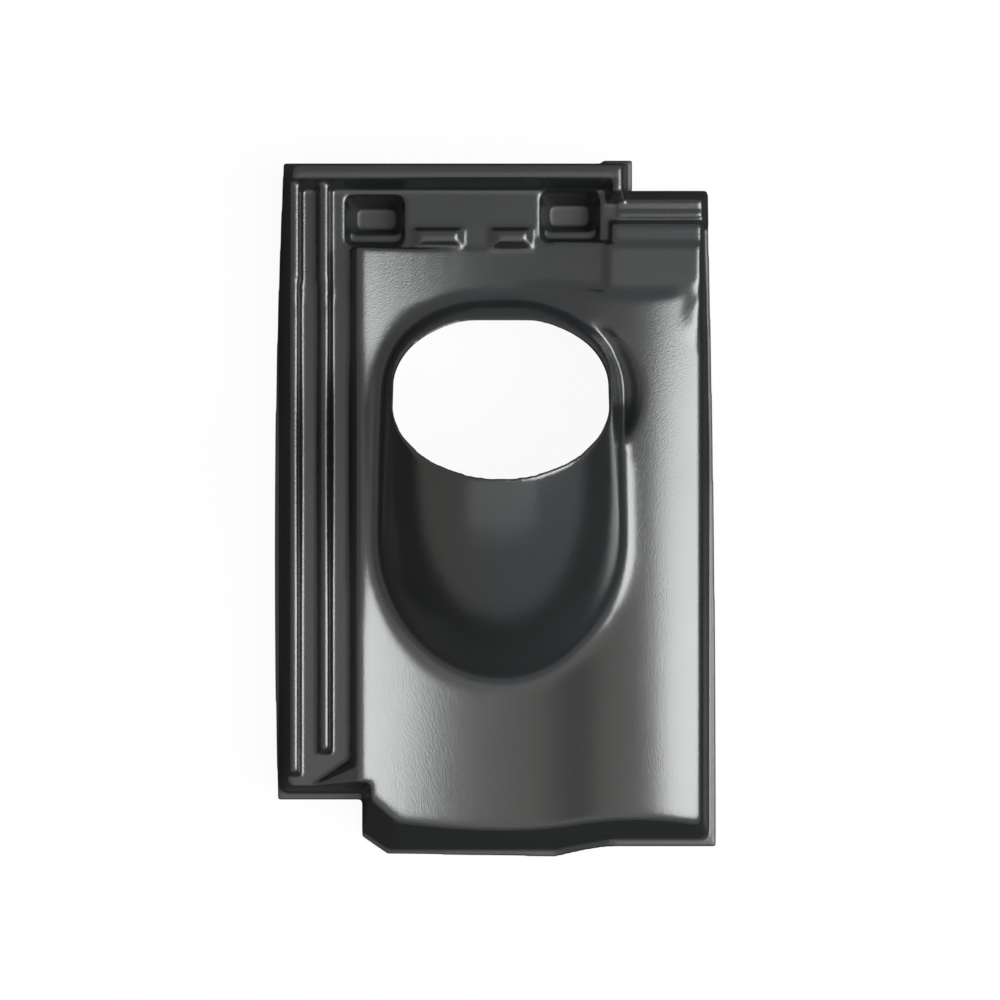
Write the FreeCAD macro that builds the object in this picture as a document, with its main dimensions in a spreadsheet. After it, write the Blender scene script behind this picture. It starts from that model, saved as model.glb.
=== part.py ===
import FreeCAD, Part
import Sketcher
import math
import os

# A vacuum-formed plastic roof tile with a slanted hood for a vent pipe, made from one sheet.
# +Y runs up the slope, +Z out of the roof, and the tile lies on its trimmed foot at Z = 0.
# The outer skin and the hollow under it are built by the same functions, one sheet gauge apart.

SIZES = [
    ("tile_length", 438.0, "overall length up the slope"),
    ("tile_width", 277.0, "overall width"),
    ("sheet_gauge", 3.5, "thickness of the formed sheet"),
    ("floor_height", 26.0, "top of the water channel and the head above the foot"),
    ("foot_width", 2.2, "flat foot left outside the walls by the trimming"),
    ("foot_gauge", 3.0, "thickness of the foot"),
    ("roll_foot", 12.0, "height of the foot under the roll, which laps the next tile"),
    ("roll_foot_width", 4.0, "flat foot outside the roll's wall"),
    ("roll_foot_place", 76.0, "where the foot has risen to the roll's level, across the tile"),
    ("low_foot_place", 38.0, "where the foot starts to rise, across the tile"),
    ("roll_setback", 8.0, "how far the roll's foot stops short of the nose"),
    ("left_bow", 5370.0, "radius of the slightly bowed left side"),
    ("right_bow", 15500.0, "radius of the slightly bowed right side"),
    ("bow_place", -30.0, "widest point of the left side along the tile"),
    ("left_draft", 17.0, "lean of the left wall from upright, degrees"),
    ("top_draft", 7.0, "lean of the head wall"),
    ("end_draft", 16.0, "lean of the channel's lower end wall"),
    ("nose_draft", 35.0, "lean of the nose"),
    ("right_draft", 19.0, "lean of the roll's outer wall"),
    ("notch_draft", 10.7, "lean of the body's left wall beside the notch"),
    ("notch_width", 55.1, "width of the lower left notch"),
    ("notch_length", 39.5, "length of the lower left notch"),
    ("corner_cut", 16.0, "slanted lower left corner of the nose, along the nose"),
    ("corner_turn", 34.7, "turn of that slanted corner, degrees"),
    ("strip_round", 5.5, "lower left corner of the channel"),
    ("foot_round", 5.0, "upper left corner of the foot"),
    ("head_round", 5.0, "upper left corner of the head"),
    ("channel_width", 49.0, "left edge to the foot of the lip"),
    ("lip_draft", 18.5, "lean of the lip towards the channel"),
    ("lip_rise", 14.5, "lip above the channel floor"),
    ("lip_setback", 58.0, "upper end of the tile to the end of the lip"),
    ("valley_place", 8.0, "centre of the pan's valley across the tile"),
    ("lip_width", 4.1, "flat top of the lip, from which the bank falls to the pan"),
    ("pan_radius", 278.0, "hollow of the pan at its valley, on the lip's side"),
    ("pan_turn", 6.0, "turn of the pan that keeps this radius, before the bank up to the lip"),
    ("flank_radius", 150.0, "hollow of the pan on the roll's side"),
    ("crest_place", 87.0, "crest of the roll across the tile"),
    ("crest_rise", 11.6, "crest of the roll above the valley"),
    ("body_round", 4.0, "rounding of the nose and the roll's edge"),
    ("ramp_place", 25.5, "foot of the corner ramp from the left edge"),
    ("ramp_draft", 63.4, "lean of the corner ramp from upright"),
    ("ramp_rise", 13.5, "top of the corner ramp above the channel floor"),
    ("ramp_length", 26.8, "corner ramp along the lip, from the channel's lower end"),
    ("ramp_turn", 34.5, "turn of the corner ramp's slanted edge"),
    ("rib_rise", 8.0, "water ribs above the channel floor"),
    ("rib_round", 2.5, "rounding of the ribs"),
    ("rib_step", 0.8, "extra height of the ribs inside the head lap"),
    ("rib_one_width", 18.7, "left edge to the inner foot of the outer rib"),
    ("rib_one_end", 53.0, "lower end of the tile to the outer rib"),
    ("rib_two_place", 28.6, "left edge to the second rib"),
    ("rib_two_width", 9.3, "width of the second rib at the channel floor"),
    ("rib_two_end", 67.0, "lower end of the tile to the second rib"),
    ("head_lap", 80.0, "length of the head lap from the upper end"),
    ("head_width", 222.0, "left edge to the right wall of the head"),
    ("rim_rise", 14.0, "head rim above the head floor"),
    ("rim_round", 3.2, "rounding of the head rim"),
    ("rim_width", 21.5, "head rim from the upper end, at the head floor"),
    ("leg_round", 3.2, "rounding of the rim's right leg"),
    ("leg_width", 14.9, "width of the rim's right leg at its foot"),
    ("leg_length", 30.0, "upper end of the tile to the end of the rim's right leg"),
    ("tab_width", 18.7, "width of the foot's tab at the head's right corner"),
    ("land_rise", 8.0, "cover land above the head floor"),
    ("land_place", 71.0, "left edge of the cover land across the tile"),
    ("land_setback", 53.0, "upper end of the tile to the end of the cover land"),
    ("head_radius", 400.0, "hollow of the head floor towards the cover land"),
    ("cover_setback", 20.7, "upper end of the tile to the cover lap's upper wall"),
    ("cover_draft", 25.0, "lean of the cover lap's upper wall"),
    ("cover_round", 6.0, "upper right corner of the cover lap"),
    ("land_round", 1.6, "rounding of the cover land and its step"),
    ("cover_drop", 1.0, "cover lap below the head floor"),
    ("step_rise", 6.0, "step of the cover lap above the head floor"),
    ("step_setback", 40.5, "upper end of the tile to that step"),
    ("ridge_rise", 2.5, "water ridges above the cover lap"),
    ("ridge_width", 5.6, "width of a water ridge"),
    ("ridge_pitch", 6.6, "spacing of the water ridges"),
    ("ridge_setback", 27.0, "upper end of the tile to the first water ridge"),
    ("ridge_length", 53.0, "length of the water ridges across the tile"),
    ("ridge_margin", 9.5, "right end of the water ridges to the right edge"),
    ("nib_depth", 22.5, "batten nibs below the head floor"),
    ("nib_ledge", 9.0, "shallow ledge in front of each nib below the head floor"),
    ("nib_width", 37.2, "width of a nib's mouth"),
    ("nib_length", 31.5, "length of a nib's mouth"),
    ("nib_reach", 26.0, "length of the deep part of a nib at the head floor"),
    ("nib_round", 4.5, "corner rounding of the nibs"),
    ("nib_draft", 15.0, "lean of the nibs' walls"),
    ("left_nib_place", -74.0, "centre of the left nib across the tile"),
    ("right_nib_place", 47.0, "centre of the right nib across the tile"),
    ("left_nib_setback", 24.5, "upper end of the tile to the left nib"),
    ("right_nib_setback", 22.4, "upper end of the tile to the right nib"),
    ("bump_rise", 5.0, "stacking bumps above the head floor"),
    ("bump_setback", 44.8, "upper end of the tile to the stacking bumps"),
    ("bump_length", 14.0, "stacking bumps along the tile"),
    ("left_bump_place", -35.0, "centre of the left bump across the tile"),
    ("right_bump_place", 10.3, "centre of the right bump across the tile"),
    ("left_bump_width", 34.0, "width of the left bump"),
    ("right_bump_width", 28.6, "width of the right bump"),
    ("hood_place", 142.5, "left edge to the middle of the hood"),
    ("hood_tilt", 43.0, "slant of the opening, degrees"),
    ("hood_radius", 76.5, "round front of the hood at its base"),
    ("hood_length", 165.6, "centre of that round front to the upper end of the hood's base"),
    ("hood_setback", 88.0, "upper end of the tile to the hood's base"),
    ("hood_sink", 10.0, "base of the hood below the head floor"),
    ("hood_corner", 57.0, "rounding of the hood's upper corners"),
    ("waist_radius", 70.5, "round front of the hood half way up"),
    ("waist_back", 122.9, "length of the hood half way up behind that round front"),
    ("waist_setback", 120.1, "upper end of the hood's base to that round front's centre"),
    ("waist_rise", 43.7, "height of that round front above the head floor"),
    ("waist_tilt", 18.4, "slant of the hood's section half way up"),
    ("hood_wall", 2.0, "wall left round the opening"),
    ("hood_brow", 12.0, "wide cut edge at the upper side of the opening"),
    ("hole_radius", 64.0, "round lower half of the opening"),
    ("hole_reach", 65.5, "middle of the opening to its upper edge"),
    ("hole_corner", 52.0, "corner rounding of its upper half"),
    ("hole_setback", 65.3, "upper end of the hood's base to the middle of the opening"),
    ("hole_rise", 64.3, "middle of the opening above the head floor"),
    ("hood_blend", 5.0, "slanted band where the hood rises from the pan and the roll"),
    ("moat_floor", 2.0, "floor of the clearance beside the hood above the head floor"),
    ("moat_radius", 38.0, "radius of that clearance at its floor"),
    ("moat_draft", 45.0, "lean of that clearance's wall"),
    ("moat_place", 39.0, "middle of the hood to the middle of that clearance, across the tile"),
    ("moat_setback", 147.0, "upper end of the tile to the middle of that clearance"),
]

# The bank's radius follows from the lip's edge and from the end of the pan's hollow.
DERIVED = [
    ("hood_middle", "=hood_place - tile_width / 2"),
    ("lip_fall", "=valley_place + tile_width / 2 - channel_width - lip_width - lip_rise * tan(lip_draft)"),
    ("bank_run", "=lip_fall - pan_radius * sin(pan_turn)"),
    ("bank_rise", "=lip_rise - pan_radius * (1 - cos(pan_turn))"),
    ("bank_bend", "=bank_rise * cos(pan_turn) - bank_run * sin(pan_turn)"),
    ("bank_radius", "=(bank_run ^ 2 + bank_rise ^ 2) / (2 * bank_bend)"),
]

doc = FreeCAD.newDocument("RoofTileVent")
sheet = doc.addObject("Spreadsheet::Sheet", "Sizes")
for row, (alias, value, note) in enumerate(SIZES, 1):
    sheet.set("A%d" % row, note)
    sheet.set("B%d" % row, str(value))
    sheet.setAlias("B%d" % row, alias)
for row, (alias, formula) in enumerate(DERIVED, len(SIZES) + 1):
    sheet.set("B%d" % row, formula)
    sheet.setAlias("B%d" % row, alias)
    doc.recompute()
size = {entry[0]: float(sheet.get(entry[0])) for entry in SIZES + DERIVED}

FLOOR = "Sizes.floor_height"
GAUGE = "Sizes.sheet_gauge"
NONE = "0"
DEEP = "-10"

# Outer walls, each as its place, its lean and the level at which the place is given.
# Low down, the two long sides are trimmed to a slight bow by very large cylinders.
LEFT = ("-Sizes.tile_width / 2 + Sizes.foot_width", "Sizes.left_draft", NONE)
RIGHT = ("Sizes.tile_width / 2 - Sizes.roll_foot_width", "Sizes.right_draft", "Sizes.roll_foot")
LEFT_INSET = "0.3 - Sizes.foot_width"
ROLL_INSET = "0.3 - Sizes.roll_foot_width"
HEAD = ("Sizes.tile_length / 2 - Sizes.foot_width", "Sizes.top_draft", NONE)
NOSE = ("-Sizes.tile_length / 2 + Sizes.foot_width", "Sizes.nose_draft", NONE)
END = ("-Sizes.tile_length / 2 + Sizes.notch_length", "Sizes.end_draft", NONE)
NOTCH = ("-Sizes.tile_width / 2 + Sizes.notch_width", "Sizes.notch_draft", NONE)
COVER = ("Sizes.tile_length / 2 - Sizes.cover_setback", "Sizes.cover_draft", "Sizes.roll_foot")
LEG = ("-Sizes.tile_width / 2 + Sizes.head_width", "6.4", NONE)
LAP = "Sizes.tile_length / 2 - Sizes.head_lap"
UPPER = "Sizes.tile_length / 2"
NORTH = "Sizes.tile_length"
SOUTH = "-Sizes.tile_length"
RIDGE_END = "Sizes.tile_width / 2 - Sizes.ridge_margin"
EAST = "Sizes.tile_width"
WEST = "-Sizes.tile_width"
LOWER = "-Sizes.tile_length / 2"
EDGE = "-Sizes.tile_width / 2"


def upright(place):
    return (place, NONE, NONE)


def wall_at(pull, wall, level, gap):
    """Place of a leaning wall at one level, moved inwards by the gap."""
    place, lean, given = wall
    rise = "((%s) - (%s)) * tan(%s)" % (level, given, lean)
    return "(%s) %s %s %s (%s) / cos(%s)" % (place, pull, rise, pull, gap, lean)


def block(name, left, right, low, high, bottom, top, gap=NONE):
    """A block with four leaning walls, all bound to the sheet."""
    made = doc.addObject("Part::Wedge", name)
    made.Placement = FreeCAD.Placement(FreeCAD.Vector(), FreeCAD.Rotation(FreeCAD.Vector(1, 0, 0), 90))
    made.setExpression("Ymin", bottom)
    made.setExpression("Ymax", top)
    for level, x_min, x_max, z_min, z_max in (
        (bottom, "Xmin", "Xmax", "Zmin", "Zmax"),
        (top, "X2min", "X2max", "Z2min", "Z2max"),
    ):
        made.setExpression(x_min, wall_at("+", left, level, gap))
        made.setExpression(x_max, wall_at("-", right, level, gap))
        made.setExpression(z_min, "-(%s)" % wall_at("-", high, level, gap))
        made.setExpression(z_max, "-(%s)" % wall_at("+", low, level, gap))
    return made


def block_edges(shape, sides):
    """Numbers of a block's top edges, and of its leaning corners, named by the sides they lie on."""
    top = max(v.Z for v in shape.Vertexes)
    rim = [v.Point for v in shape.Vertexes if abs(v.Z - top) < 1e-4]
    x_all = [p.x for p in rim]
    y_all = [p.y for p in rim]
    x_mid, x_half = (max(x_all) + min(x_all)) / 2, (max(x_all) - min(x_all)) / 2
    y_mid, y_half = (max(y_all) + min(y_all)) / 2, (max(y_all) - min(y_all)) / 2
    found = []
    for number, edge in enumerate(shape.Edges, 1):
        ends = [v.Point for v in edge.Vertexes if abs(v.Z - top) < 1e-4]
        if not ends:
            continue
        across = (sum(p.x for p in ends) / len(ends) - x_mid) / x_half
        along = (sum(p.y for p in ends) / len(ends) - y_mid) / y_half
        side = "left" if across < 0 else "right"
        end = "low" if along < 0 else "high"
        if len(ends) == 1:
            name = end + " " + side
        else:
            name = side if abs(across) > abs(along) else end
        if name in sides:
            found.append(number)
    return found


def rounded(name, base, radius, sides):
    """Rounds named edges of a block, by no more than its top allows."""
    doc.recompute()
    top = max(v.Z for v in base.Shape.Vertexes)
    rim = [v.Point for v in base.Shape.Vertexes if abs(v.Z - top) < 1e-4]
    if "left" in sides and "right" in sides:
        radius = min(radius, 0.6 * (max(p.x for p in rim) - min(p.x for p in rim)))
    if "low" in sides and "high" in sides:
        radius = min(radius, 0.6 * (max(p.y for p in rim) - min(p.y for p in rim)))
    made = doc.addObject("Part::Fillet", name)
    made.Base = base
    made.Edges = [(number, radius, radius) for number in block_edges(base.Shape, sides)]
    return made


def join(name, shapes):
    made = doc.addObject("Part::MultiFuse", name)
    made.Shapes = shapes
    return made


def cut(name, base, tool):
    made = doc.addObject("Part::Cut", name)
    made.Base = base
    made.Tool = tool
    return made


def bore(name, place, level, radius):
    """A long cylinder along the tile, used to hollow a floor."""
    made = doc.addObject("Part::Cylinder", name)
    made.Placement = FreeCAD.Placement(FreeCAD.Vector(), FreeCAD.Rotation(FreeCAD.Vector(1, 0, 0), -90))
    made.setExpression("Height", "2 * Sizes.tile_length")
    made.setExpression("Placement.Base.y", "-Sizes.tile_length")
    made.setExpression("Radius", radius)
    made.setExpression("Placement.Base.x", place)
    made.setExpression("Placement.Base.z", level)
    return made


def constrain(sketch, text, expression):
    """Adds one dimension to a sketch and binds it to the sheet."""
    index = sketch.addConstraint(text)
    sketch.setExpression("Constraints[%d]" % index, expression)


def body_section(name, gap):
    """Section across the lip, the pan and the roll, as tangent arcs between leaning walls."""
    inset = size["sheet_gauge"] if gap else 0.0
    extra = GAUGE if gap else NONE
    base = -10.0 if gap else 0.0
    floor = size["floor_height"]
    valley = size["valley_place"]
    span = size["crest_place"] - valley
    total = (span ** 2 + size["crest_rise"] ** 2) / (2 * size["crest_rise"])
    lip_lean = math.radians(size["lip_draft"])
    lip_line = -size["tile_width"] / 2 + size["channel_width"]
    pan_turn = math.radians(size["pan_turn"])
    pan = size["pan_radius"] + inset
    bank = size["bank_radius"] + inset
    flank = size["flank_radius"] + inset
    roll = total - flank
    turn = math.asin(span / total)
    lip_top = floor + size["lip_rise"] - inset
    lip_foot = lip_line + inset / math.cos(lip_lean)
    right_lean = math.radians(size["right_draft"])
    right_foot = size["tile_width"] / 2 - size["roll_foot_width"] - inset / math.cos(right_lean)
    centre = FreeCAD.Vector(valley, floor + size["pan_radius"], 0)
    lean_in = FreeCAD.Vector(-math.sin(pan_turn), -math.cos(pan_turn), 0)
    pivot = centre + lean_in * (size["pan_radius"] - size["bank_radius"])
    lip_edge = pivot.x - math.sqrt(bank ** 2 - (pivot.y - lip_top) ** 2)
    middle = FreeCAD.Vector(valley, floor + size["flank_radius"], 0)
    hub = FreeCAD.Vector(size["crest_place"], floor + size["crest_rise"] - total + size["flank_radius"], 0)
    # The roll's wall meets the roll where a line from its foot crosses the circle.
    run = FreeCAD.Vector(-math.sin(right_lean), math.cos(right_lean), 0)
    foot = FreeCAD.Vector(right_foot, size["roll_foot"], 0)
    lever = foot - hub
    reach = -lever.dot(run) + math.sqrt(lever.dot(run) ** 2 - lever.dot(lever) + roll ** 2)
    eave = foot + run * reach
    low_foot = foot + run * ((base - size["roll_foot"]) / run.y)
    points = [
        FreeCAD.Vector(lip_foot + (base - floor) * math.tan(lip_lean), base, 0),
        FreeCAD.Vector(lip_foot + (lip_top - floor) * math.tan(lip_lean), lip_top, 0),
        FreeCAD.Vector(lip_edge, lip_top, 0),
        centre + lean_in * pan,
        FreeCAD.Vector(valley, centre.y - pan, 0),
        middle + FreeCAD.Vector(math.sin(turn), -math.cos(turn), 0) * flank,
        eave,
        low_foot,
    ]
    axis = FreeCAD.Vector(0, 0, 1)

    def arc(hub_point, radius, start, end):
        circle = Part.Circle(hub_point, axis, radius)
        first = math.atan2(start.y - hub_point.y, start.x - hub_point.x)
        last = math.atan2(end.y - hub_point.y, end.x - hub_point.x)
        return Part.ArcOfCircle(circle, first, last)

    sketch = doc.addObject("Sketcher::SketchObject", name)
    sketch.Placement = FreeCAD.Placement(FreeCAD.Vector(), FreeCAD.Rotation(FreeCAD.Vector(1, 0, 0), 90))
    wall, top = [sketch.addGeometry(Part.LineSegment(points[i], points[i + 1]), False) for i in (0, 1)]
    shore = sketch.addGeometry(arc(pivot, bank, points[2], points[3]), False)
    slope = sketch.addGeometry(arc(centre, pan, points[3], points[4]), False)
    rise = sketch.addGeometry(arc(middle, flank, points[4], points[5]), False)
    crown = sketch.addGeometry(arc(hub, roll, points[6], points[5]), False)
    side = sketch.addGeometry(Part.LineSegment(points[6], points[7]), False)
    closing = sketch.addGeometry(Part.LineSegment(points[7], points[0]), False)
    link = Sketcher.Constraint
    for one, end, two, start in (
        (wall, 2, top, 1),
        (top, 2, shore, 1),
        (crown, 1, side, 1),
        (side, 2, closing, 1),
        (closing, 2, wall, 1),
    ):
        sketch.addConstraint(link("Coincident", one, end, two, start))
    sketch.addConstraint(link("Tangent", shore, 2, slope, 1))
    sketch.addConstraint(link("Tangent", slope, 2, rise, 1))
    sketch.addConstraint(link("Tangent", rise, 2, crown, 2))
    sketch.addConstraint(link("Horizontal", top))
    sketch.addConstraint(link("Horizontal", closing))
    sketch.addConstraint(link("Vertical", slope, 3, slope, 2))
    grow = "+ (%s)" % extra
    shrink = "- (%s)" % extra
    constrain(sketch, link("Radius", shore, bank), "Sizes.bank_radius " + grow)
    constrain(sketch, link("Radius", slope, pan), "Sizes.pan_radius " + grow)
    hollow_end = "(Sizes.pan_radius %s) * sin(Sizes.pan_turn)" % grow
    constrain(sketch, link("DistanceX", slope, 1, slope, 3, pan * math.sin(pan_turn)), hollow_end)
    constrain(sketch, link("Radius", rise, flank), "Sizes.flank_radius " + grow)
    constrain(sketch, link("DistanceX", -1, 1, slope, 3, centre.x), "Sizes.valley_place")
    constrain(sketch, link("DistanceY", -1, 1, slope, 3, centre.y), FLOOR + " + Sizes.pan_radius")
    constrain(sketch, link("DistanceX", -1, 1, crown, 3, hub.x), "Sizes.crest_place")
    crest = "((Sizes.crest_place - Sizes.valley_place) ^ 2 + Sizes.crest_rise ^ 2) / (2 * Sizes.crest_rise)"
    constrain(sketch, link("Radius", crown, roll), "%s - Sizes.flank_radius %s" % (crest, shrink))
    constrain(sketch, link("DistanceY", -1, 1, top, 1, lip_top), "%s + Sizes.lip_rise %s" % (FLOOR, shrink))
    lip = ("-Sizes.tile_width / 2 + Sizes.channel_width", "Sizes.lip_draft", FLOOR)
    lip_level = "(%s + Sizes.lip_rise %s)" % (FLOOR, shrink)
    constrain(sketch, link("DistanceX", -1, 1, top, 1, points[1].x), wall_at("+", lip, lip_level, extra))
    constrain(sketch, link("DistanceX", -1, 1, wall, 1, points[0].x), wall_at("+", lip, str(base), extra))
    constrain(sketch, link("DistanceY", -1, 1, wall, 1, base), str(base))
    constrain(sketch, link("DistanceX", -1, 1, side, 2, points[7].x), wall_at("-", RIGHT, str(base), extra))
    lean = link("Angle", side, math.atan2(points[7].y - points[6].y, points[7].x - points[6].x))
    constrain(sketch, lean, "-90 + Sizes.right_draft")
    return sketch


def slot_section(name, radius, back, corner, centre, tilt, bound):
    """Outline of the hood at one level: round in front, with rounded corners at the back."""
    link = Sketcher.Constraint
    axis = FreeCAD.Vector(0, 0, 1)
    flat = radius - corner
    side = back - corner
    sketch = doc.addObject("Sketcher::SketchObject", name)
    sketch.Placement = FreeCAD.Placement(centre, FreeCAD.Rotation(FreeCAD.Vector(1, 0, 0), -tilt))

    def line(x_one, y_one, x_two, y_two):
        part = Part.LineSegment(FreeCAD.Vector(x_one, y_one, 0), FreeCAD.Vector(x_two, y_two, 0))
        return sketch.addGeometry(part, False)

    def arc(x_mid, y_mid, bend, first, last):
        circle = Part.Circle(FreeCAD.Vector(x_mid, y_mid, 0), axis, bend)
        return sketch.addGeometry(Part.ArcOfCircle(circle, math.radians(first), math.radians(last)), False)

    top = line(flat, back, -flat, back)
    left_corner = arc(-flat, side, corner, 90, 180)
    left = line(-radius, side, -radius, 0)
    front = arc(0, 0, radius, 180, 360)
    right = line(radius, 0, radius, side)
    right_corner = arc(flat, side, corner, 0, 90)
    for one, end, two, start in (
        (top, 2, left_corner, 1),
        (left_corner, 2, left, 1),
        (left, 2, front, 1),
        (front, 2, right, 1),
        (right, 2, right_corner, 1),
        (right_corner, 2, top, 1),
    ):
        sketch.addConstraint(link("Tangent", one, end, two, start))
    sketch.addConstraint(link("Coincident", front, 3, -1, 1))
    sketch.addConstraint(link("Horizontal", top))
    sketch.addConstraint(link("Vertical", left))
    sketch.addConstraint(link("Vertical", right))
    constrain(sketch, link("Radius", front, radius), bound[0])
    constrain(sketch, link("DistanceY", -1, 1, top, 1, back), bound[1])
    constrain(sketch, link("Radius", left_corner, corner), bound[2])
    constrain(sketch, link("Radius", right_corner, corner), bound[2])
    return sketch


def loft(name, sections):
    made = doc.addObject("Part::Loft", name)
    made.Sections = sections
    made.Solid = True
    made.Ruled = False
    return made


def extruded(name, base, along, length, back="0"):
    made = doc.addObject("Part::Extrusion", name)
    made.Base = base
    made.DirMode = "Custom"
    made.Dir = along
    made.Solid = True
    made.setExpression("LengthFwd", length)
    made.setExpression("LengthRev", back)
    return made


def bowed(name, base, side, gap, inset):
    """Trims one side to its slight bow with a very large upright cylinder."""
    big = doc.addObject("Part::Cylinder", name + "Bow")
    big.Placement = FreeCAD.Placement(FreeCAD.Vector(0, 0, -30), FreeCAD.Rotation())
    big.setExpression("Height", "Sizes.floor_height + 60")
    reach = "%s - (%s)" % (inset, GAUGE if gap else NONE)
    if side == "left":
        big.setExpression("Radius", "Sizes.left_bow + (%s)" % reach)
        big.setExpression("Placement.Base.x", EDGE + " + Sizes.left_bow")
        big.setExpression("Placement.Base.y", "Sizes.bow_place")
    else:
        big.setExpression("Radius", "Sizes.right_bow + (%s)" % reach)
        big.setExpression("Placement.Base.x", "Sizes.tile_width / 2 - Sizes.right_bow")
        big.setExpression("Placement.Base.y", "%s + Sizes.roll_setback" % LOWER)
    made = doc.addObject("Part::Common", name)
    made.Base = base
    made.Tool = big
    return made


def turned(made, place_x, place_y, turn):
    """Turns a block about an upright axis and sets it down at a point."""
    flat = FreeCAD.Rotation(FreeCAD.Vector(1, 0, 0), 90)
    made.Placement = FreeCAD.Placement(
        FreeCAD.Vector(place_x, place_y, 0),
        FreeCAD.Rotation(FreeCAD.Vector(0, 0, 1), turn).multiply(flat),
    )
    return made


def inner_round(alias):
    """Radius of a formed corner on the sheet's inner face."""
    return max(size[alias] - size["sheet_gauge"], 0.4)


def body_form(tag, gap):
    """Lip, pan and roll: the section along the tile, with the nose, notch and head ends cut."""
    extra = GAUGE if gap else NONE
    widen = "-Sizes.sheet_gauge" if gap else NONE
    section = body_section(tag + "BodySection", gap)
    end = "%s - Sizes.lip_setback - (%s)" % (UPPER, extra)
    bar = extruded(tag + "BodyBar", section, FreeCAD.Vector(0, 1, 0), end, UPPER + " + 20")
    nose = (NOSE[0], "-" + NOSE[1], NONE)
    nose_tool = block(tag + "NoseTool", upright(WEST), upright(EAST), upright(SOUTH), nose,
                      "-20", "90", widen)
    notch_side = (NOTCH[0], "-" + NOTCH[1], NONE)
    notch_end = (END[0], "-" + END[1], NONE)
    notch_tool = block(tag + "NotchTool", upright(WEST), notch_side, upright(SOUTH), notch_end,
                       "-20", "90", widen)
    made = cut(tag + "BodyNosed", bar, join(tag + "NoseTools", [nose_tool, notch_tool]))
    if not gap:
        made = soft_edges(made)
    corner = (NONE, "-Sizes.nose_draft", NONE)
    corner_tool = block(tag + "CornerTool", upright(WEST), upright(EAST), upright("-90"), corner,
                        "-20", "40", widen)
    corner_x = -size["tile_width"] / 2 + size["notch_width"] + size["corner_cut"]
    turned(corner_tool, corner_x, -size["tile_length"] / 2 + size["foot_width"], -size["corner_turn"])
    head_tool = block(tag + "HeadTool", upright("Sizes.valley_place"), upright(EAST), (LAP, "-35", FLOOR),
                      upright(NORTH), "-20", "90", widen)
    made = cut(tag + "BodyEnded", made, join(tag + "BodyTools", [corner_tool, head_tool]))
    return bowed(tag + "Body", made, "right", gap, ROLL_INSET)


def soft_edges(made):
    """Rounds the nose's upper edge, the roll's outer edge and the corner between them."""
    doc.recompute()
    nose = math.radians(size["nose_draft"])
    side = math.radians(size["right_draft"])
    ahead = FreeCAD.Vector(0, -math.cos(nose), math.sin(nose))
    aside = FreeCAD.Vector(math.cos(side), 0, math.sin(side))
    fronts = []
    sides = []
    for face in made.Shape.Faces:
        if not isinstance(face.Surface, Part.Plane):
            continue
        normal = face.normalAt(0, 0)
        if normal.getAngle(ahead) < 1e-4:
            fronts.append(face)
        elif normal.getAngle(aside) < 1e-4:
            sides.append(face)
    numbers = []
    for number, edge in enumerate(made.Shape.Edges, 1):
        on_front = any(edge.isSame(other) for face in fronts for other in face.Edges)
        on_side = any(edge.isSame(other) for face in sides for other in face.Edges)
        high = max(v.Z for v in edge.Vertexes) > size["roll_foot"] + 8
        notch = all(v.X < size["valley_place"] - 70 for v in edge.Vertexes)
        if high and not notch and (on_front or on_side) and edge.BoundBox.YMin < 0:
            numbers.append(number)
    soft = doc.addObject("Part::Fillet", "BodySoft")
    soft.Base = made
    soft.Edges = [(number, size["body_round"], size["body_round"]) for number in numbers]
    return soft


def strip_and_head(tag, gap):
    """The water channel and the head plate with its rim, on the bowed left wall."""
    extra = GAUGE if gap else NONE
    top = "%s - (%s)" % (FLOOR, extra)
    base = DEEP if gap else NONE
    inner_end = upright(EDGE + " + Sizes.channel_width + 9")
    strip = block(tag + "StripBlock", LEFT, inner_end, END, upright(LAP + " + 10"), base, top, extra)
    radius = inner_round("strip_round") if gap else size["strip_round"]
    strip = rounded(tag + "StripSoft", strip, radius, ["low left"])
    strip = bowed(tag + "Strip", strip, "left", gap, LEFT_INSET)
    head = block(tag + "HeadBlock", LEFT, LEG, upright(LAP + " - 30"), HEAD, base, top, extra)
    radius = inner_round("head_round") if gap else size["head_round"]
    head = rounded(tag + "HeadSoft", head, radius, ["high left"])
    head = bowed(tag + "Head", head, "left", gap, LEFT_INSET)
    rim_low = (UPPER + " - Sizes.rim_width", "23", FLOOR)
    rim_top = "%s + Sizes.rim_rise - (%s)" % (FLOOR, extra)
    rim = block(tag + "RimBlock", LEFT, LEG, rim_low, HEAD, FLOOR + " - 8", rim_top, extra)
    rim = rounded(tag + "RimCorner", rim, radius, ["high left"])
    if gap:
        return [strip, head, rim]
    around = ["left", "right", "low", "high"]
    rim = rounded("Rim", rim, size["rim_round"], around)
    leg_left = (LEG[0] + " - Sizes.leg_width", "18.5", FLOOR)
    leg_low = (UPPER + " - Sizes.leg_length", "25", FLOOR)
    leg = block("RimLegBlock", leg_left, LEG, leg_low, HEAD, FLOOR + " - 8", rim_top)
    leg = rounded("RimLeg", leg, size["leg_round"], around)
    return [strip, head, rim, leg]


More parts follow.
